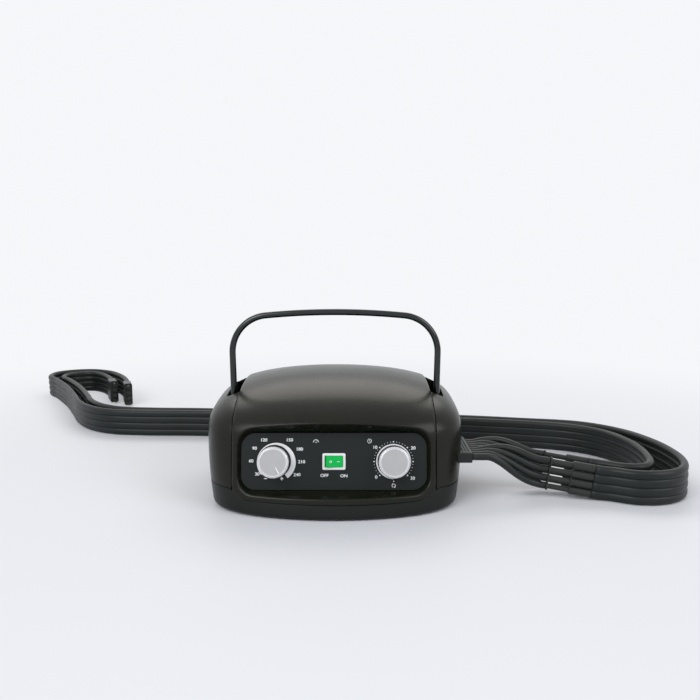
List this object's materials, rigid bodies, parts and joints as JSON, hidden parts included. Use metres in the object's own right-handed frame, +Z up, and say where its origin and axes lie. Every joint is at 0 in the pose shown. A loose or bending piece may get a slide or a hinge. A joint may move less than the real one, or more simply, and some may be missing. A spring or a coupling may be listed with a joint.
{
  "type": "compression therapy pump",
  "caption": "Compression therapy pump: rounded housing with a folding carry handle, two dial knobs, a rocker switch and ribbon air hoses on a plug.",
  "frame": {"origin": "on the table under the middle of the housing", "axes": "+X to the right seen from the front, where the hoses plug in; the control panel faces -Y; +Z up"},
  "size_m": [0.8235, 0.622, 0.1791],
  "materials": {
    "housing_plastic": "satin",
    "panel_plastic": "matte",
    "knob_plastic": "silver paint",
    "knob_metal": "satin",
    "zinc_steel": "bright",
    "dark_chrome": "polished",
    "brass": "turned",
    "white_plastic": "gloss",
    "green_plastic": "gloss, translucent",
    "nylon": "matte",
    "cast_alloy": "as cast",
    "windings": "enamelled wire",
    "black_plastic": "satin",
    "rubber": "matte",
    "silicone": "satin",
    "wire_sleeve": "satin",
    "hose_rubber": "satin",
    "coupling_plastic": "satin"
  },
  "bodies": {
    "housing": {"centre_cover": "housing_plastic", "side_cover_left": "housing_plastic", "side_cover_right": "housing_plastic", "base_shell": "housing_plastic", "control_plate": "panel_plastic", "pressure_regulator": "brass", "timer_case": "white_plastic", "switch_case": "white_plastic", "handle_pins": "zinc_steel", "handle_washers": "nylon", "compressor_case": "cast_alloy", "compressor_coils": "windings", "compressor_heads": "cast_alloy", "compressor_mounts": "rubber", "distributor_case": "nylon", "distributor_motor": "zinc_steel", "outlet_socket": "black_plastic", "inner_tubes": "silicone", "supply_tubes": "silicone", "terminal_block": "nylon", "mains_inlet": "black_plastic", "wiring": "wire_sleeve", "rubber_feet": "rubber", "case_screws": "zinc_steel"},
    "handle": {"handle": "dark_chrome"},
    "pressure_control": {"pressure_knob": "knob_plastic", "pressure_knob_cap": "knob_metal", "pressure_stem": "zinc_steel"},
    "time_control": {"time_knob": "knob_plastic", "time_knob_cap": "knob_metal", "time_stem": "zinc_steel"},
    "rocker": {"switch_rocker": "green_plastic"},
    "piston": {"compressor_piston": "cast_alloy"},
    "rotor": {"distributor_rotor": "black_plastic"},
    "hose_set": {"hose_plug": "black_plastic", "lead_tubes_front": "hose_rubber", "lead_tubes_rear": "hose_rubber", "couplings_front": "coupling_plastic", "couplings_rear": "coupling_plastic", "ribbon_hose_outer": "hose_rubber", "ribbon_hose_inner": "hose_rubber", "end_connector_outer": "coupling_plastic", "end_connector_inner": "coupling_plastic"}
  },
  "joints": [
    {"name": "handle_fold", "type": "hinge", "parent": "housing", "child": "handle", "pos_m": [0, -0.0085, 0.086], "axis": [-1, 0, 0], "range_deg": [0, 71.5]},
    {"name": "pressure_turn", "type": "hinge", "parent": "housing", "child": "pressure_control", "pos_m": [-0.054, -0.0735, 0.046], "axis": [0, -0.9767, 0.2147], "range_deg": [0, 300]},
    {"name": "time_turn", "type": "hinge", "parent": "housing", "child": "time_control", "pos_m": [0.054, -0.0735, 0.046], "axis": [0, -0.9767, 0.2147], "range_deg": [-172, 133]},
    {"name": "rocker_swing", "type": "hinge", "parent": "housing", "child": "rocker", "pos_m": [0, -0.07135, 0.04553], "axis": [0, 0.2147, 0.9767], "range_deg": [-14, 0]},
    {"name": "piston_stroke", "type": "slide", "parent": "housing", "child": "piston", "axis": [1, 0, 0], "range_m": [-0.0025, 0.0025]},
    {"name": "rotor_spin", "type": "hinge", "parent": "housing", "child": "rotor", "pos_m": [0.062, 0, 0.05], "axis": [0, 1, 0], "continuous": true},
    {"name": "plug_pull", "type": "slide", "parent": "housing", "child": "hose_set", "axis": [1, 0, 0], "range_m": [0, 0.014]}
  ]
}
